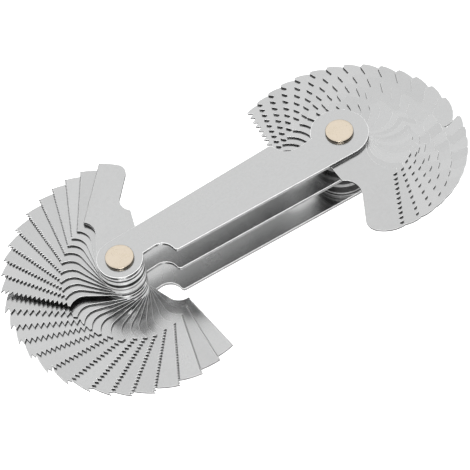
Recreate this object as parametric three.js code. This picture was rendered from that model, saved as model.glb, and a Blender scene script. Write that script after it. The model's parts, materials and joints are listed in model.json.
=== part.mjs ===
// Double-ended screw pitch gauge: two fans of toothed steel leaves, each turning on its own
// rivet, stacked in two bays between three tapered steel plates.
// Millimetres, +Z up. The origin is the centre of the fine-end rivet's lower face, on the surface
// that the gauge rests on. +X points from the fine-end rivet to the coarse-end rivet.

import * as THREE from 'three';

// Driving dimensions
const PIVOT_SPACING = 55.4;
const PLATE_THICKNESS = 0.9;
const LEAF_THICKNESS = 0.46;
const LEAF_GAP = 0.05;
const UPPER_BAY_LEAVES = 12;
const LOWER_BAY_LEAVES = 14;
const INCH = 25.4;

const SHANK_RADIUS = 1.5;
const PLATE_HOLE_RADIUS = 1.56;
const LEAF_HOLE_RADIUS = 1.6;
const HOLE_SEGMENTS = 7;
const HEAD_RADIUS = 3.05;
const HEAD_HEIGHT = 0.65;
const HEAD_EDGE_WIDTH = 0.2;
const RIVET_SEGMENTS = 32;

// The leaf blank of each end, in its own frame: u runs along the toothed edge, v across it, and
// the pivot is at 0, 0. The toothed edge is the line v = toothV.
const FINE_BLANK = {
  endRadius: 4.9,
  toothV: 9.8,
  backV: 3.4,
  tipU: 24.4,
  tipRadius: 18.0,
  tipCentreV: 7.2,
  tipCorner: 2.3,
  backNotchU: 15.9,
  backNotchRadius: 2.95,
  toothStartU: 8.65,
  frontNotchRadius: 3.3,
};
const COARSE_BLANK = {
  endRadius: 6.3,
  toothV: 11.1,
  backV: 3.2,
  tipU: 26.05,
  tipRadius: 7.4,
  tipCentreV: 7.6,
  tipCorner: 3.0,
  backNotchU: 15.9,
  backNotchRadius: 3.8,
  toothStartU: 10.3,
  frontNotchRadius: 5.7,
};
const TIP_ARC_STEP = THREE.MathUtils.degToRad(10);

// The thumb scallop beside each round end of a plate, as fractions of that end's radius
const SCALLOP_START_ANGLE = THREE.MathUtils.degToRad(-20);
const SCALLOP_DEPTH_V = 0.3;
const SCALLOP_CENTRE_U = 1.55;
const SCALLOP_RADIUS = 0.61;
const SCALLOP_FILLET = 0.165;

// Thread forms: half of the groove's angle in degrees, then shares of the pitch. A fine groove is
// a plain vee; a coarse one has a flat crest and a flat root. firstGroove is how far the centre
// of the outermost groove is from the tip.
const METRIC = { name: 'metric', halfAngle: 30, crest: 1 / 8, root: 1 / 4, firstGroove: 0.57 };
const WHITWORTH = {
  name: 'whitworth',
  halfAngle: 27.5,
  crest: 1 / 6,
  root: 1 / 6,
  firstGroove: 0.69,
};
const SHARP_FIRST_GROOVE = 0.5;
const SHARP_BELOW_PITCH = 1.4;

// Pitches in mm, and threads per inch, from the top leaf of each bay downwards
const FINE_METRIC = [0.25, 0.3, 0.35, 0.4, 0.45, 0.5, 0.6, 0.7, 0.75, 0.8, 0.9, 1.0];
const FINE_WHITWORTH = [19, 20, 22, 24, 25, 26, 28, 30, 32, 36, 40, 48, 60, 62];
const COARSE_METRIC = [1.25, 1.5, 1.75, 2.0, 2.5, 3.0, 3.5, 4.0, 4.5, 5.0, 5.5, 6.0];
const COARSE_WHITWORTH = [4, 4.5, 5, 6, 7, 8, 9, 10, 11, 12, 13, 14, 16, 18];

// How far each leaf is swung out of the case, in degrees from folded, for the i-th leaf from the
// top of its bay. The slow wave is the unevenness of a fan spread by hand.
const OPENING = {
  fineUpper: (i) => (i === 0 ? 69.2 : 60.7 + 8.5 * i + 0.9 * Math.sin(1.14 * (i - 0.8))),
  fineLower: (i) => 161.8 + 9.5 * i + 0.07 * i * i + 1.1 * Math.sin(1.1 * (i - 4.3)),
  coarseUpper: (i) => 85.2 + 7.36 * i + 2.5 * Math.sin((Math.PI * i) / 7),
  coarseLower: (i) => 286.6 - 6.5 * (13 - i) - 0.14 * (13 - i) ** 2,
};

const STEEL = { color: 0xc9cbcc, roughness: 0.32, metalness: 1.0 };
const PLATE_STEEL = { color: 0xc4c6c7, roughness: 0.38, metalness: 1.0 };
const RIVET_BRASS = { color: 0xd8c3a3, roughness: 0.3, metalness: 1.0 };

// Heights
const LEAF_STEP = LEAF_THICKNESS + LEAF_GAP;
const LOWER_BAY_HEIGHT = LOWER_BAY_LEAVES * LEAF_STEP + LEAF_GAP;
const UPPER_BAY_HEIGHT = UPPER_BAY_LEAVES * LEAF_STEP + LEAF_GAP;
const BOTTOM_PLATE_Z = HEAD_HEIGHT;
const LOWER_BAY_Z = BOTTOM_PLATE_Z + PLATE_THICKNESS;
const MIDDLE_PLATE_Z = LOWER_BAY_Z + LOWER_BAY_HEIGHT;
const UPPER_BAY_Z = MIDDLE_PLATE_Z + PLATE_THICKNESS;
const TOP_PLATE_Z = UPPER_BAY_Z + UPPER_BAY_HEIGHT;
const RIVET_HEIGHT = TOP_PLATE_Z + PLATE_THICKNESS + HEAD_HEIGHT;

// Points on an arc about a centre, from one angle to another in radians, both ends included
function arc(centreX, centreY, radius, from, to, steps) {
  const points = [];
  for (let i = 0; i <= steps; i += 1) {
    const angle = from + ((to - from) * i) / steps;
    points.push([centreX + radius * Math.cos(angle), centreY + radius * Math.sin(angle)]);
  }
  return points;
}

// The angle, seen from the origin, at which a line from a point touches a circle about the origin
function tangentAngle([x, y], radius, side) {
  return Math.atan2(y, x) + side * Math.acos(radius / Math.hypot(x, y));
}

// Where the tip's arc meets the toothed edge, along u
function toothedCornerU(blank) {
  const rise = blank.toothV - blank.tipCentreV;
  return blank.tipU - blank.tipRadius + Math.sqrt(blank.tipRadius ** 2 - rise ** 2);
}

// The grooves of a toothed edge from the tip inwards, along v = toothV
function toothPoints(blank, form, pitch) {
  const sharp = pitch < SHARP_BELOW_PITCH;
  const crest = sharp ? 0 : form.crest * pitch;
  const root = sharp ? 0 : form.root * pitch;
  const first = sharp ? SHARP_FIRST_GROOVE : form.firstGroove;
  const depth = (pitch - crest - root) / 2 / Math.tan(THREE.MathUtils.degToRad(form.halfAngle));
  const tip = toothedCornerU(blank);
  const count = Math.floor((tip - blank.toothStartU) / pitch - first + 0.5);
  const points = [];
  for (let i = 0; i < count; i += 1) {
    const centre = tip - (first + i) * pitch;
    if (sharp) {
      points.push([centre, blank.toothV - depth], [centre - pitch / 2, blank.toothV]);
    } else {
      const halfTop = (pitch - crest) / 2;
      points.push([centre + halfTop, blank.toothV], [centre + root / 2, blank.toothV - depth]);
      points.push([centre - root / 2, blank.toothV - depth], [centre - halfTop, blank.toothV]);
    }
  }
  return points;
}

// The tip: a corner off the back edge, then a wide arc up to the toothed edge
function tipPoints(blank) {
  const centreU = blank.tipU - blank.tipRadius;
  const cornerV = blank.backV + blank.tipCorner;
  const drop = blank.tipCentreV - cornerV;
  const cornerU = centreU + Math.sqrt((blank.tipRadius - blank.tipCorner) ** 2 - drop ** 2);
  const meet = Math.atan2(-drop, cornerU - centreU);
  const end = Math.asin((blank.toothV - blank.tipCentreV) / blank.tipRadius);
  const steps = Math.ceil((end - meet) / TIP_ARC_STEP);
  return [
    ...arc(cornerU, cornerV, blank.tipCorner, -Math.PI / 2, meet, 4),
    ...arc(centreU, blank.tipCentreV, blank.tipRadius, meet, end, steps).slice(1),
  ];
}

// A leaf's outline, anticlockwise, turned so that its toothed tip corner lies on +X. The notch at
// the inner end of the teeth is an arc about a point on the toothed edge's line, and the common
// tangent of that arc and the round end joins them.
function leafOutline(blank, form, pitch) {
  const backCentreV = blank.backV - blank.backNotchRadius;
  const shoulder = [blank.backNotchU - blank.backNotchRadius, backCentreV];
  const backTangent = tangentAngle(shoulder, blank.endRadius, -1);
  const frontCentreU = blank.toothStartU - blank.frontNotchRadius;
  const bothRadii = blank.endRadius + blank.frontNotchRadius;
  const neckTangent = tangentAngle([frontCentreU, blank.toothV], bothRadii, 1);
  const points = [
    ...arc(blank.backNotchU, backCentreV, blank.backNotchRadius, Math.PI, Math.PI / 2, 5),
    ...tipPoints(blank),
    ...toothPoints(blank, form, pitch),
    ...arc(frontCentreU, blank.toothV, blank.frontNotchRadius, 0, neckTangent - Math.PI, 6),
    ...arc(0, 0, blank.endRadius, neckTangent, backTangent + 2 * Math.PI, 12),
  ];
  const turn = -Math.atan2(blank.toothV, toothedCornerU(blank));
  return points.map(([u, v]) => [
    u * Math.cos(turn) - v * Math.sin(turn),
    u * Math.sin(turn) + v * Math.cos(turn),
  ]);
}

// One end of a plate, anticlockwise, in a frame with that end's pivot at 0, 0 and the other end on
// +X: the round end, the scallop on the -Y side and the fillet into the straight edge.
// slope is how much the plate's half width grows per mm of x.
function plateEnd(radius, slope) {
  const filletRadius = SCALLOP_FILLET * radius;
  const scallopRadius = SCALLOP_RADIUS * radius;
  const scallopX = SCALLOP_CENTRE_U * radius;
  const scallopY = -(SCALLOP_DEPTH_V + SCALLOP_RADIUS) * radius;
  const reach = scallopRadius + filletRadius;
  const halfWidth = radius + slope * (scallopX + reach);
  const filletY = filletRadius - halfWidth;
  const filletX = scallopX + Math.sqrt(reach ** 2 - (filletY - scallopY) ** 2);
  const meet = Math.atan2(filletY - scallopY, filletX - scallopX);
  const tangent = Math.PI / 2 + Math.atan(slope);
  return [
    ...arc(0, 0, radius, tangent, 2 * Math.PI + SCALLOP_START_ANGLE, 20),
    ...arc(scallopX, scallopY, scallopRadius, Math.PI / 2, meet, 7),
    ...arc(filletX, filletY, filletRadius, Math.PI + meet, 1.5 * Math.PI, 4).slice(1),
  ];
}

function plateOutline() {
  const fine = FINE_BLANK.endRadius;
  const coarse = COARSE_BLANK.endRadius;
  const slope = (coarse - fine) / PIVOT_SPACING;
  const turned = plateEnd(coarse, -slope).map(([x, y]) => [PIVOT_SPACING - x, -y]);
  return [...plateEnd(fine, slope), ...turned];
}

// A flat sheet of the given outline and round holes, standing on z = 0
function sheet(outline, thickness, holes) {
  const shape = new THREE.Shape(outline.map(([x, y]) => new THREE.Vector2(x, y)));
  for (const hole of holes) {
    shape.holes.push(new THREE.Path().absarc(hole.x, 0, hole.radius, 0, 2 * Math.PI, true));
  }
  return new THREE.ExtrudeGeometry(shape, {
    depth: thickness,
    bevelEnabled: false,
    curveSegments: HOLE_SEGMENTS,
  });
}

function named(name, geometry, finish) {
  const mesh = new THREE.Mesh(geometry, new THREE.MeshStandardMaterial(finish));
  mesh.name = name;
  return mesh;
}

function plate(name, z) {
  const holes = [
    { x: 0, radius: PLATE_HOLE_RADIUS },
    { x: PIVOT_SPACING, radius: PLATE_HOLE_RADIUS },
  ];
  const mesh = named(name, sheet(plateOutline(), PLATE_THICKNESS, holes), PLATE_STEEL);
  mesh.position.z = z;
  return mesh;
}

// A headed rivet through the whole stack, flat on both ends with a chamfered rim
function rivet(name, x) {
  const flatRadius = HEAD_RADIUS - HEAD_EDGE_WIDTH;
  const profile = [
    [0, 0],
    [flatRadius, 0],
    [HEAD_RADIUS, HEAD_EDGE_WIDTH],
    [HEAD_RADIUS, HEAD_HEIGHT],
    [SHANK_RADIUS, HEAD_HEIGHT],
    [SHANK_RADIUS, RIVET_HEIGHT - HEAD_HEIGHT],
    [HEAD_RADIUS, RIVET_HEIGHT - HEAD_HEIGHT],
    [HEAD_RADIUS, RIVET_HEIGHT - HEAD_EDGE_WIDTH],
    [flatRadius, RIVET_HEIGHT],
    [0, RIVET_HEIGHT],
  ];
  const points = profile.map(([radius, z]) => new THREE.Vector2(radius, z));
  const geometry = new THREE.LatheGeometry(points, RIVET_SEGMENTS).rotateX(Math.PI / 2);
  const mesh = named(name, geometry, RIVET_BRASS);
  mesh.position.x = x;
  return mesh;
}

// One bay's leaves at one end. first is the height of the bay's ceiling, and facing is the
// direction of a folded leaf, in radians.
function leafPack(blank, form, sizes, labels, opening, pivotX, ceiling, facing) {
  return sizes.map((pitch, i) => {
    const holes = [{ x: 0, radius: LEAF_HOLE_RADIUS }];
    const geometry = sheet(leafOutline(blank, form, pitch), LEAF_THICKNESS, holes);
    const mesh = named(`leaf_${form.name}_${labels[i]}`, geometry, STEEL);
    mesh.position.set(pivotX, 0, ceiling - (i + 1) * LEAF_STEP);
    mesh.rotation.z = facing + THREE.MathUtils.degToRad(opening(i));
    return mesh;
  });
}

const metricLabel = (pitch) => `${pitch.toFixed(2).replace('.', '_')}mm`;
const inchLabel = (threads) => `${String(threads).replace('.', '_')}tpi`;
const toPitch = (threads) => INCH / threads;

function fan(blank, metric, whitworth, upperOpening, lowerOpening, pivotX, facing) {
  const group = new THREE.Group();
  const metricLabels = metric.map(metricLabel);
  const inchLabels = whitworth.map(inchLabel);
  const pitches = whitworth.map(toPitch);
  const upper = [blank, METRIC, metric, metricLabels, upperOpening, pivotX, TOP_PLATE_Z, facing];
  const lower = [blank, WHITWORTH, pitches, inchLabels, lowerOpening, pivotX, MIDDLE_PLATE_Z, facing];
  group.add(...leafPack(...upper), ...leafPack(...lower));
  return group;
}

const gauge = new THREE.Group();
gauge.add(
  plate('bottom_plate', BOTTOM_PLATE_Z),
  plate('middle_plate', MIDDLE_PLATE_Z),
  plate('top_plate', TOP_PLATE_Z),
  rivet('rivet_fine_end', 0),
  rivet('rivet_coarse_end', PIVOT_SPACING),
  fan(
    FINE_BLANK,
    FINE_METRIC,
    FINE_WHITWORTH,
    OPENING.fineUpper,
    OPENING.fineLower,
    0,
    0,
  ),
  fan(
    COARSE_BLANK,
    COARSE_METRIC,
    COARSE_WHITWORTH,
    OPENING.coarseUpper,
    OPENING.coarseLower,
    PIVOT_SPACING,
    Math.PI,
  ),
);

export default gauge;
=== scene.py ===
"""A double-ended screw pitch gauge, spread open: ground steel leaves, a sheet steel case and pale
brass rivets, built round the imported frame. Lengths are in millimetres until a mesh is made."""

import json
import math
import random

import bmesh
import bpy
from mathutils import Matrix, Vector


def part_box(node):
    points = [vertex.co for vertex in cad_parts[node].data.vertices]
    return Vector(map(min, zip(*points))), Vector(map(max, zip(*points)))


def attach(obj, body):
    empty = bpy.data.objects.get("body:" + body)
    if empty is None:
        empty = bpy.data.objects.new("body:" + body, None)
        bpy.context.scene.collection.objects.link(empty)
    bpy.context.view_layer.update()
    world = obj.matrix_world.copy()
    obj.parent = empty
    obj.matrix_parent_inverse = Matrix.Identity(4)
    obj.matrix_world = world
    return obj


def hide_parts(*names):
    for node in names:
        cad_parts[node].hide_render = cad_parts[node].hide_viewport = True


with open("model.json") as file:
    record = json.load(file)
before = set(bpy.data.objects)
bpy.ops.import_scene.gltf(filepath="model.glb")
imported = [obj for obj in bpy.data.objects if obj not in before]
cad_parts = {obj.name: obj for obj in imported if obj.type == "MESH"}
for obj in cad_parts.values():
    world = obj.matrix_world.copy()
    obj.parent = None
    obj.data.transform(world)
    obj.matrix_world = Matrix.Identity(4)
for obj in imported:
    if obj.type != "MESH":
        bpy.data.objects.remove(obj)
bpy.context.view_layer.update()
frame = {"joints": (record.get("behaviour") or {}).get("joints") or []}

MM = 0.001
INCH = 25.4


# ---------------------------------------------------------------- sizes, in millimetres

PIVOT_SPACING = (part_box("rivet_coarse_end")[0].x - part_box("rivet_fine_end")[0].x) / MM
HEAD_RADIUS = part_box("rivet_fine_end")[1].x / MM
HEAD_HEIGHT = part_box("bottom_plate")[0].z / MM
GAUGE_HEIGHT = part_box("rivet_fine_end")[1].z / MM
SHANK_RADIUS = 1.5
PLATE_HOLE_RADIUS = 1.56
LEAF_HOLE_RADIUS = 1.6

# The leaf blank of each end: u runs along the toothed edge, v across it, the pivot is at 0, 0
FINE_BLANK = {
    "end_radius": 4.9,
    "tooth_v": 9.8,
    "back_v": 3.4,
    "tip_u": 24.4,
    "tip_radius": 18.0,
    "tip_centre_v": 7.2,
    "tip_corner": 2.3,
    "back_notch_u": 15.9,
    "back_notch_radius": 2.95,
    "tooth_start_u": 8.65,
    "front_notch_radius": 3.3,
}
COARSE_BLANK = {
    "end_radius": 6.3,
    "tooth_v": 11.1,
    "back_v": 3.2,
    "tip_u": 26.05,
    "tip_radius": 7.4,
    "tip_centre_v": 7.6,
    "tip_corner": 3.0,
    "back_notch_u": 15.9,
    "back_notch_radius": 3.8,
    "tooth_start_u": 10.3,
    "front_notch_radius": 5.7,
}

# Thread forms: half of the groove's angle, then shares of the pitch. The outermost groove's
# centre is first_groove from the tip.
METRIC_FORM = {"half_angle": math.radians(30), "crest": 1 / 8, "root": 1 / 4, "first_groove": 0.57}
WHITWORTH_FORM = {
    "half_angle": math.radians(27.5),
    "crest": 1 / 6,
    "root": 1 / 6,
    "first_groove": 0.69,
}
SHARP_FIRST_GROOVE = 0.5
SHARP_BELOW_PITCH = 1.4

# The thumb scallop beside each round end of a plate, as fractions of that end's radius
SCALLOP_START_ANGLE = math.radians(-20)
SCALLOP_DEPTH_V = 0.3
SCALLOP_CENTRE_U = 1.55
SCALLOP_RADIUS = 0.61
SCALLOP_FILLET = 0.165

LEAF_CHAMFER = 0.05
LEAF_CHAMFER_PER_PITCH = 0.1
PLATE_CHAMFER = 0.1
ARC_STEP = math.radians(5)
SHARP_EDGE_ANGLE = math.radians(24)


# ---------------------------------------------------------------- outlines

def arc(centre, radius, start, end, step=ARC_STEP):
    """Points on an arc from one angle to another, both ends included."""
    steps = max(2, math.ceil(abs(end - start) / step))
    angles = (start + (end - start) * i / steps for i in range(steps + 1))
    return [(centre[0] + radius * math.cos(a), centre[1] + radius * math.sin(a)) for a in angles]


def tangent_angle(point, radius, side):
    """Where a line from a point touches a circle about the origin, as an angle."""
    return math.atan2(point[1], point[0]) + side * math.acos(radius / math.hypot(*point))


def toothed_corner_u(blank):
    """Where the tip's arc meets the toothed edge, along u."""
    rise = blank["tooth_v"] - blank["tip_centre_v"]
    return blank["tip_u"] - blank["tip_radius"] + math.sqrt(blank["tip_radius"] ** 2 - rise**2)


def tooth_points(blank, form, pitch):
    """The grooves of a toothed edge, from the tip inwards."""
    sharp = pitch < SHARP_BELOW_PITCH
    crest = 0 if sharp else form["crest"] * pitch
    root = 0 if sharp else form["root"] * pitch
    first = SHARP_FIRST_GROOVE if sharp else form["first_groove"]
    depth = (pitch - crest - root) / 2 / math.tan(form["half_angle"])
    top = blank["tooth_v"]
    bottom = top - depth
    half_top = (pitch - crest) / 2
    tip = toothed_corner_u(blank)
    points = []
    for i in range(math.floor((tip - blank["tooth_start_u"]) / pitch - first + 0.5)):
        centre = tip - (first + i) * pitch
        if sharp:
            points += [(centre, bottom), (centre - half_top, top)]
        else:
            points += [(centre + half_top, top), (centre + root / 2, bottom)]
            points += [(centre - root / 2, bottom), (centre - half_top, top)]
    return points


def tip_points(blank):
    """The tip: a corner off the back edge, then a wide arc up to the toothed edge."""
    centre_u = blank["tip_u"] - blank["tip_radius"]
    corner_v = blank["back_v"] + blank["tip_corner"]
    drop = blank["tip_centre_v"] - corner_v
    corner_u = centre_u + math.sqrt((blank["tip_radius"] - blank["tip_corner"]) ** 2 - drop**2)
    meet = math.atan2(-drop, corner_u - centre_u)
    end = math.asin((blank["tooth_v"] - blank["tip_centre_v"]) / blank["tip_radius"])
    return [
        *arc((corner_u, corner_v), blank["tip_corner"], -math.pi / 2, meet),
        *arc((centre_u, blank["tip_centre_v"]), blank["tip_radius"], meet, end)[1:],
    ]


def leaf_outline(blank, form, pitch):
    """A leaf's outline, anticlockwise, in its own u and v. The notch at the inner end of the teeth
    is an arc about a point on the toothed edge's line, joined to the round end by their common
    tangent."""
    notch_v = blank["back_v"] - blank["back_notch_radius"]
    shoulder = (blank["back_notch_u"] - blank["back_notch_radius"], notch_v)
    front = (blank["tooth_start_u"] - blank["front_notch_radius"], blank["tooth_v"])
    both_radii = blank["end_radius"] + blank["front_notch_radius"]
    hub_start = tangent_angle(front, both_radii, 1)
    hub_end = tangent_angle(shoulder, blank["end_radius"], -1) + 2 * math.pi
    back = (blank["back_notch_u"], notch_v)
    return [
        *arc(back, blank["back_notch_radius"], math.pi, math.pi / 2),
        *tip_points(blank),
        *tooth_points(blank, form, pitch),
        *arc(front, blank["front_notch_radius"], 0, hub_start - math.pi),
        *arc((0, 0), blank["end_radius"], hub_start, hub_end),
    ]


def plate_end(radius, slope):
    """One end of a plate: its round end, scallop and fillet, with the other end on +X."""
    fillet = SCALLOP_FILLET * radius
    scallop = SCALLOP_RADIUS * radius
    scallop_centre = (SCALLOP_CENTRE_U * radius, -(SCALLOP_DEPTH_V + SCALLOP_RADIUS) * radius)
    reach = scallop + fillet
    fillet_y = fillet - (radius + slope * (scallop_centre[0] + reach))
    rise = fillet_y - scallop_centre[1]
    fillet_centre = (scallop_centre[0] + math.sqrt(reach**2 - rise**2), fillet_y)
    meet = math.atan2(rise, fillet_centre[0] - scallop_centre[0])
    start = math.pi / 2 + math.atan(slope)
    return [
        *arc((0, 0), radius, start, 2 * math.pi + SCALLOP_START_ANGLE),
        *arc(scallop_centre, scallop, math.pi / 2, meet),
        *arc(fillet_centre, fillet, math.pi + meet, 1.5 * math.pi)[1:],
    ]


def plate_outline():
    fine = FINE_BLANK["end_radius"]
    coarse = COARSE_BLANK["end_radius"]
    slope = (coarse - fine) / PIVOT_SPACING
    turned = [(PIVOT_SPACING - x, -y) for x, y in plate_end(coarse, -slope)]
    return plate_end(fine, slope) + turned


# ---------------------------------------------------------------- meshes

def inset(points, distance):
    """An anticlockwise outline moved inwards, mitred at its corners."""
    moved = []
    for before, point, after in zip(points[-1:] + points[:-1], points, points[1:] + points[:1]):
        one = Vector((before[1] - point[1], point[0] - before[0])).normalized()
        two = Vector((point[1] - after[1], after[0] - point[0])).normalized()
        shift = (one + two) * distance / (1 + one.dot(two))
        moved.append((point[0] + shift.x, point[1] + shift.y))
    return moved


def add_ring(bm, points, z):
    return [bm.verts.new((x * MM, y * MM, z * MM)) for x, y in points]


def add_wall(bm, lower, upper, material):
    """A closed band of quads between two rings, facing out for anticlockwise rings."""
    for i, corner in enumerate(lower):
        j = (i + 1) % len(lower)
        face = bm.faces.new((corner, lower[j], upper[j], upper[i]))
        face.material_index = material


def add_cap(bm, rings, material, normal):
    """A flat face bounded by an outline and its holes."""
    edges = [bm.edges.get((ring[i - 1], ring[i])) for ring in rings for i in range(len(ring))]
    made = bmesh.ops.triangle_fill(bm, use_beauty=True, edges=edges, normal=normal)
    for face in (g for g in made["geom"] if isinstance(g, bmesh.types.BMFace)):
        face.material_index = material


def sheet_mesh(name, outline, holes, thickness, chamfer):
    """A flat sheet on z = 0 with chamfered rims. Its faces take the first material, its side and
    hole walls the second and its chamfers the third. Its UV map holds the flat outline's
    coordinates in millimetres."""
    bm = bmesh.new()
    inner = inset(outline, chamfer)
    rings = [
        add_ring(bm, inner, 0),
        add_ring(bm, outline, chamfer),
        add_ring(bm, outline, thickness - chamfer),
        add_ring(bm, inner, thickness),
    ]
    for lower, upper, material in zip(rings, rings[1:], (2, 1, 2)):
        add_wall(bm, lower, upper, material)
    lower_rings = [rings[0]]
    upper_rings = [rings[-1]]
    for x, y, radius in holes:
        circle = arc((x, y), radius, 2 * math.pi, 0)[:-1]
        lower_rings.append(add_ring(bm, circle, 0))
        upper_rings.append(add_ring(bm, circle, thickness))
        add_wall(bm, lower_rings[-1], upper_rings[-1], 1)
    add_cap(bm, lower_rings, 0, (0, 0, -1))
    add_cap(bm, upper_rings, 0, (0, 0, 1))
    bmesh.ops.recalc_face_normals(bm, faces=bm.faces)
    grain = bm.loops.layers.uv.new("grain")
    for face in bm.faces:
        for loop in face.loops:
            loop[grain].uv = (loop.vert.co.x / MM, loop.vert.co.y / MM)
    mesh = bpy.data.meshes.new(name)
    bm.to_mesh(mesh)
    bm.free()
    return mesh


def lathe_mesh(name, profile, step=ARC_STEP):
    """A solid of revolution about Z from a list of (radius, height) that starts and ends at 0."""
    bm = bmesh.new()
    count = round(2 * math.pi / step)
    rings = []
    for radius, z in profile:
        circle = [(radius * math.cos(i * step), radius * math.sin(i * step)) for i in range(count)]
        rings.append(add_ring(bm, circle, z))
    for lower, upper in zip(rings, rings[1:]):
        add_wall(bm, lower, upper, 0)
    bmesh.ops.remove_doubles(bm, verts=bm.verts, dist=1e-7)
    bmesh.ops.recalc_face_normals(bm, faces=bm.faces)
    mesh = bpy.data.meshes.new(name)
    bm.to_mesh(mesh)
    bm.free()
    return mesh


def add_piece(name, mesh, place, materials, body, node):
    """Puts a mesh in its place in the frame, where it stands for a CAD node."""
    mesh.transform(place)
    for material in materials:
        mesh.materials.append(material)
    mesh.polygons.foreach_set("use_smooth", [True] * len(mesh.polygons))
    mesh.set_sharp_from_angle(angle=SHARP_EDGE_ANGLE)
    piece = bpy.data.objects.new(name, mesh)
    bpy.context.scene.collection.objects.link(piece)
    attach(piece, body)
    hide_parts(node)
    return piece


# ---------------------------------------------------------------- materials

def new_material(name):
    material = bpy.data.materials.new(name)
    material.use_nodes = True
    return material, material.node_tree.nodes, material.node_tree.links


def stretched_noise(nodes, links, source, scale, detail=4.0, roughness=0.6):
    """Noise over a coordinate that is scaled by a vector first, so that it runs in streaks."""
    mapping = nodes.new("ShaderNodeMapping")
    mapping.inputs["Scale"].default_value = scale
    links.new(source, mapping.inputs["Vector"])
    noise = nodes.new("ShaderNodeTexNoise")
    noise.inputs["Scale"].default_value = 1.0
    noise.inputs["Detail"].default_value = detail
    noise.inputs["Roughness"].default_value = roughness
    links.new(mapping.outputs["Vector"], noise.inputs["Vector"])
    return noise.outputs["Fac"]


def ramp(nodes, links, source, stops):
    node = nodes.new("ShaderNodeValToRGB")
    node.color_ramp.elements[0].position = stops[0][0]
    node.color_ramp.elements[0].color = (*stops[0][1], 1)
    node.color_ramp.elements[1].position = stops[1][0]
    node.color_ramp.elements[1].color = (*stops[1][1], 1)
    links.new(source, node.inputs["Fac"])
    return node.outputs["Color"]


def blend(nodes, links, mode, factor, one, two):
    node = nodes.new("ShaderNodeMix")
    node.data_type = "RGBA"
    node.blend_type = mode
    node.inputs[0].default_value = factor
    links.new(one, node.inputs[6])
    links.new(two, node.inputs[7])
    return node.outputs[2]


def spread(nodes, links, source, low, high):
    node = nodes.new("ShaderNodeMapRange")
    node.inputs["From Min"].default_value = 0.3
    node.inputs["From Max"].default_value = 0.7
    node.inputs["To Min"].default_value = low
    node.inputs["To Max"].default_value = high
    links.new(source, node.inputs["Value"])
    return node.outputs["Result"]


def ground_steel(name, tone, roughness, along):
    """Ground sheet steel: fine grinding lines along one axis of the sheet, which also give a faint
    bump, cloudy handling marks and a roughness that follows the cloudy marks. along is the grain's
    length over its width."""
    material, nodes, links = new_material(name)
    shader = nodes["Principled BSDF"]
    shader.inputs["Metallic"].default_value = 1.0
    sheet = nodes.new("ShaderNodeUVMap")
    sheet.uv_map = "grain"
    place = nodes.new("ShaderNodeTexCoord").outputs["Object"]
    lines = stretched_noise(nodes, links, sheet.outputs["UV"], (12 / along, 12, 1), 6, 0.7)
    clouds = stretched_noise(nodes, links, place, (160, 160, 160), 5, 0.55)
    specks = stretched_noise(nodes, links, place, (1500, 1500, 1500), 2, 0.5)
    cool = [c * tone for c in (0.995, 1.0, 1.0)]
    dull = [c * 0.965 for c in cool]
    bright = [min(1.0, c * 1.02) for c in cool]
    clouded = ramp(nodes, links, clouds, [(0.35, dull), (0.65, bright)])
    lined = ramp(nodes, links, lines, [(0.3, (0.96,) * 3), (0.7, (1.0,) * 3)])
    speckled = ramp(nodes, links, specks, [(0.3, (0.975,) * 3), (0.6, (1.0,) * 3)])
    colour = blend(nodes, links, "MULTIPLY", 1.0, clouded, lined)
    colour = blend(nodes, links, "MULTIPLY", 1.0, colour, speckled)
    links.new(colour, shader.inputs["Base Color"])
    polish = spread(nodes, links, clouds, roughness * 0.85, roughness * 1.2)
    links.new(polish, shader.inputs["Roughness"])
    bump = nodes.new("ShaderNodeBump")
    bump.inputs["Strength"].default_value = 0.12
    bump.inputs["Distance"].default_value = 0.00001
    links.new(lines, bump.inputs["Height"])
    links.new(bump.outputs["Normal"], shader.inputs["Normal"])
    return material


def sheared_edge(name, dark, light, roughness, metallic=1.0):
    """The cut edge of a sheet, with the burnish and break of shearing between two grey levels.
    Near-black levels are painted shade and near-white ones painted highlight.
    """
    material, nodes, links = new_material(name)
    shader = nodes["Principled BSDF"]
    shader.inputs["Metallic"].default_value = metallic
    place = nodes.new("ShaderNodeTexCoord").outputs["Object"]
    breaks = stretched_noise(nodes, links, place, (900, 900, 2600), 3, 0.6)
    levels = [(0.3, (dark,) * 3), (0.7, (light,) * 3)]
    links.new(ramp(nodes, links, breaks, levels), shader.inputs["Base Color"])
    links.new(spread(nodes, links, breaks, roughness, roughness * 1.5), shader.inputs["Roughness"])
    return material


def pale_brass(name):
    """Lightly polished pale brass with a spun bloom and small dark pits."""
    material, nodes, links = new_material(name)
    shader = nodes["Principled BSDF"]
    shader.inputs["Metallic"].default_value = 1.0
    place = nodes.new("ShaderNodeTexCoord").outputs["Object"]
    bloom = stretched_noise(nodes, links, place, (420, 420, 420), 4, 0.6)
    pits = stretched_noise(nodes, links, place, (2600, 2600, 2600), 2, 0.5)
    base = ramp(nodes, links, bloom, [(0.3, (0.55, 0.48, 0.385)), (0.7, (0.65, 0.57, 0.47))])
    pitted = ramp(nodes, links, pits, [(0.24, (0.75, 0.72, 0.7)), (0.36, (1.0,) * 3)])
    links.new(blend(nodes, links, "MULTIPLY", 1.0, base, pitted), shader.inputs["Base Color"])
    links.new(spread(nodes, links, bloom, 0.24, 0.36), shader.inputs["Roughness"])
    bump = nodes.new("ShaderNodeBump")
    bump.inputs["Strength"].default_value = 0.2
    bump.inputs["Distance"].default_value = 0.00002
    links.new(pits, bump.inputs["Height"])
    links.new(bump.outputs["Normal"], shader.inputs["Normal"])
    return material


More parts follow.
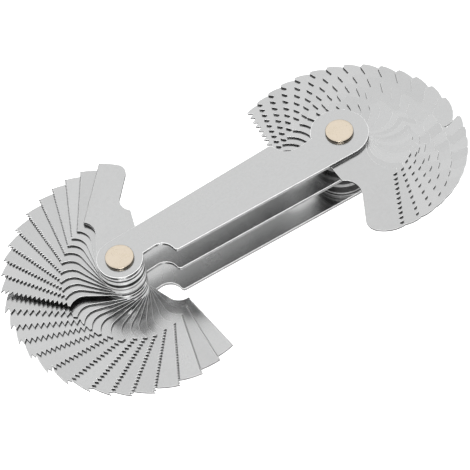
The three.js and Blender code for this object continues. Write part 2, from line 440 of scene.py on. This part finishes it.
leaf_tones = random.Random(7)
# The leaf side walls are near black: painted shade for the gaps between the stacked leaves.
leaf_edge = sheared_edge("leaf_edge", 0.004, 0.03, 0.4)
# The leaf chamfers are near white and mostly diffuse: a painted highlight line along each leaf's
# edge.
leaf_rim = sheared_edge("leaf_rim", 0.8, 0.95, 0.36, 0.6)
# Round-end walls, picked at random per leaf: the light one is a painted highlight, the near-black
# one painted shade of the gaps in the hub stack, the dark grey one sits between.
leaf_ends = [
    sheared_edge("leaf_end_bright", 0.62, 0.8, 0.45, 0.7),
    sheared_edge("leaf_end_worn", 0.2, 0.4, 0.45, 0.9),
    sheared_edge("leaf_end_oiled", 0.015, 0.05, 0.4),
]
plate_face = ground_steel("plate_face", 0.46, 0.24, 24)
plate_edge = sheared_edge("plate_edge", 0.16, 0.3, 0.2)
# The plate chamfers are near white and barely metallic: a painted highlight line along the plate
# edges.
plate_rim_painted_highlight = sheared_edge("plate_rim_painted_highlight", 0.85, 0.98, 0.45, 0.1)
brass = pale_brass("rivet_brass")
# The rivet heads' sides are near black: painted shade for the dark crescent under each head's
# overhang.
brass_side_painted_shade = sheared_edge("rivet_side_painted_shade", 0.006, 0.03, 0.35)


# ---------------------------------------------------------------- leaves

def leaf_pitch(node):
    """The pitch and thread form that a leaf's name states."""
    series, size = node.removeprefix("leaf_").split("_", 1)
    if series == "metric":
        return float(size.removesuffix("mm").replace("_", ".")), METRIC_FORM
    return INCH / float(size.removesuffix("tpi").replace("_", ".")), WHITWORTH_FORM


def mark_round_end(mesh, radius):
    """Gives the fourth material to the walls and chamfers on a leaf's round end."""
    chord_sag = 0.2
    slack = 0.01
    for face in mesh.polygons:
        reach = math.hypot(face.center.x, face.center.y) / MM
        if face.material_index > 0 and radius - chord_sag < reach < radius + slack:
            face.material_index = 3


LEAF_TONE = 0.435
LEAF_TONE_STEP = 0.02
LEAF_ROUGHNESS = 0.2
LEAF_ROUGHNESS_STEP = 0.015
LEAF_GRAIN = 18
leaf_faces = [
    ground_steel(
        f"leaf_face_{i}",
        LEAF_TONE + LEAF_TONE_STEP * i,
        LEAF_ROUGHNESS + LEAF_ROUGHNESS_STEP * i,
        LEAF_GRAIN,
    )
    for i in range(3)
]
for joint in frame["joints"]:
    body = joint["child"]
    node = "leaf_" + body
    low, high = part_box(node)
    pivot = Vector(joint["pos_m"])
    fine_end = pivot.x < PIVOT_SPACING * MM / 2
    blank = FINE_BLANK if fine_end else COARSE_BLANK
    pitch, form = leaf_pitch(node)
    hole = (0, 0, LEAF_HOLE_RADIUS)
    outline = leaf_outline(blank, form, pitch)
    chamfer = min(LEAF_CHAMFER, LEAF_CHAMFER_PER_PITCH * pitch)
    mesh = sheet_mesh("blade_" + body, outline, [hole], (high.z - low.z) / MM, chamfer)
    # A folded leaf has its toothed tip corner on the line between the pivots
    folded = (0 if fine_end else math.pi) - math.atan2(blank["tooth_v"], toothed_corner_u(blank))
    opening = -math.radians(joint["range_deg"][0])
    turn = Matrix.Rotation(folded + opening, 4, "Z")
    place = Matrix.Translation((pivot.x, pivot.y, low.z)) @ turn
    mark_round_end(mesh, blank["end_radius"])
    face = leaf_tones.choice(leaf_faces)
    # The coarse end's stack is the darker of the two: its round ends get only the dark grey and
    # painted-shade finishes
    end = leaf_tones.choice(leaf_ends if fine_end else leaf_ends[1:])
    finishes = [face, leaf_edge, leaf_rim, end]
    add_piece("blade_" + body, mesh, place, finishes, body, node)


# ---------------------------------------------------------------- case and rivets

for node in ("bottom_plate", "middle_plate", "top_plate"):
    low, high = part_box(node)
    holes = [(0, 0, PLATE_HOLE_RADIUS), (PIVOT_SPACING, 0, PLATE_HOLE_RADIUS)]
    name = node.removesuffix("_plate") + "_sheet"
    mesh = sheet_mesh(name, plate_outline(), holes, (high.z - low.z) / MM, PLATE_CHAMFER)
    place = Matrix.Translation((0, 0, low.z))
    add_piece(name, mesh, place, [plate_face, plate_edge, plate_rim_painted_highlight], "case", node)


def rivet_profile():
    """Half of a rivet's section: two spun heads that overhang the plate, and the shank."""
    rim = 0.16
    side = 0.3
    neck = HEAD_RADIUS - 0.42
    flat = HEAD_RADIUS * 0.8
    corner = arc((HEAD_RADIUS - rim, -rim), rim, math.pi / 2, 0, math.radians(22.5))
    head = [(0, 0), (flat, 0), *corner, (HEAD_RADIUS, -side), (neck, -HEAD_HEIGHT)]
    upper = [(r, GAUGE_HEIGHT + z) for r, z in [*head, (SHANK_RADIUS, -HEAD_HEIGHT)]]
    lower = [(r, GAUGE_HEIGHT - z) for r, z in upper]
    return lower + upper[::-1]


def mark_sides(mesh):
    """Gives the second material to the steep faces of a lathed piece."""
    steepest_top = 0.6
    for face in mesh.polygons:
        if abs(face.normal.z) < steepest_top:
            face.material_index = 1


for end, x in (("fine", 0.0), ("coarse", PIVOT_SPACING)):
    mesh = lathe_mesh(f"{end}_rivet", rivet_profile())
    mark_sides(mesh)
    place = Matrix.Translation((x * MM, 0, 0))
    finishes = [brass, brass_side_painted_shade]
    add_piece(f"{end}_rivet", mesh, place, finishes, "case", f"rivet_{end}_end")


# ---------------------------------------------------------------- floor, light and camera

def floor_material():
    """Plain white paper that glows a little, as it does over a light table."""
    material, nodes, _ = new_material("floor_paper")
    shader = nodes["Principled BSDF"]
    shader.inputs["Base Color"].default_value = (0.9, 0.9, 0.9, 1)
    shader.inputs["Roughness"].default_value = 0.9
    shader.inputs["Specular IOR Level"].default_value = 0.1
    shader.inputs["Emission Color"].default_value = (1, 1, 1, 1)
    shader.inputs["Emission Strength"].default_value = 0.8
    return material


bpy.ops.mesh.primitive_plane_add(size=4.0, location=(0, 0, 0))
floor = bpy.context.object
floor.name = "floor"
floor.data.materials.append(floor_material())

# Where the camera stands, seen from the gauge
CAMERA_AZIMUTH = math.radians(-26.13)
CAMERA_ELEVATION = math.radians(55.20)
camera_side = Vector((
    math.sin(CAMERA_AZIMUTH) * math.cos(CAMERA_ELEVATION),
    -math.cos(CAMERA_AZIMUTH) * math.cos(CAMERA_ELEVATION),
    math.sin(CAMERA_ELEVATION),
))


def studio_world():
    """A white light tent that is dimmer round the photographer's place and brightest in a wide
    ring about it."""
    world = bpy.data.worlds.new("studio")
    world.use_nodes = True
    nodes, links = world.node_tree.nodes, world.node_tree.links
    towards = nodes.new("ShaderNodeVectorMath")
    towards.operation = "DOT_PRODUCT"
    towards.inputs[1].default_value = camera_side
    links.new(nodes.new("ShaderNodeTexCoord").outputs["Generated"], towards.inputs[0])
    share = nodes.new("ShaderNodeMapRange")
    share.inputs["From Min"].default_value = -1
    links.new(towards.outputs["Value"], share.inputs["Value"])
    tent = nodes.new("ShaderNodeValToRGB")
    stops = [(0.4, 0.6), (0.56, 0.8), (0.67, 1.0), (0.76, 0.8), (0.86, 0.6), (1.0, 0.4)]
    for place, _ in stops[2:]:
        tent.color_ramp.elements.new(place)
    for element, (place, level) in zip(tent.color_ramp.elements, stops):
        element.position = place
        element.color = (level, level, level, 1)
    links.new(share.outputs["Result"], tent.inputs["Fac"])
    links.new(tent.outputs["Color"], nodes["Background"].inputs["Color"])
    nodes["Background"].inputs["Strength"].default_value = 1.12
    return world


bpy.context.scene.world = studio_world()


def softbox(name, position, size, power):
    """A square area light that faces the middle of the gauge."""
    data = bpy.data.lights.new(name, "AREA")
    data.size = size
    data.energy = power
    light = bpy.data.objects.new(name, data)
    bpy.context.scene.collection.objects.link(light)
    light.location = position
    aim = Vector((PIVOT_SPACING * MM / 2, 0, 0)) - Vector(position)
    light.rotation_euler = aim.to_track_quat("-Z", "Y").to_euler()


# Sizes and distances in metres, powers in watts
softbox("key", (0.2, 0.36, 0.58), 0.5, 0.3)
softbox("front", camera_side * 0.6, 0.2, 1.6)

# The camera looks down on the gauge from beyond its near side, turned a little about its own axis
CAMERA_ROLL = math.radians(-8.15)
CAMERA_DISTANCE = 458.5 * MM
CAMERA_LENS = 168.4
TOP_PLATE_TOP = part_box("top_plate")[1].z
target = Vector((22.7 * MM, -9.25 * MM, TOP_PLATE_TOP))
level = Vector((math.cos(CAMERA_AZIMUTH), math.sin(CAMERA_AZIMUTH), 0))
upright = camera_side.cross(level)
right = level * math.cos(CAMERA_ROLL) + upright * math.sin(CAMERA_ROLL)
up = upright * math.cos(CAMERA_ROLL) - level * math.sin(CAMERA_ROLL)
camera_data = bpy.data.cameras.new("camera")
camera_data.sensor_width = 36
camera_data.lens = CAMERA_LENS
camera_data.clip_start = 0.01
camera = bpy.data.objects.new("camera", camera_data)
bpy.context.scene.collection.objects.link(camera)
position = target + camera_side * CAMERA_DISTANCE
facing = Matrix((right, up, camera_side)).transposed().to_4x4()
camera.matrix_world = Matrix.Translation(position) @ facing
bpy.context.scene.camera = camera
bpy.context.scene.view_settings.view_transform = "Standard"
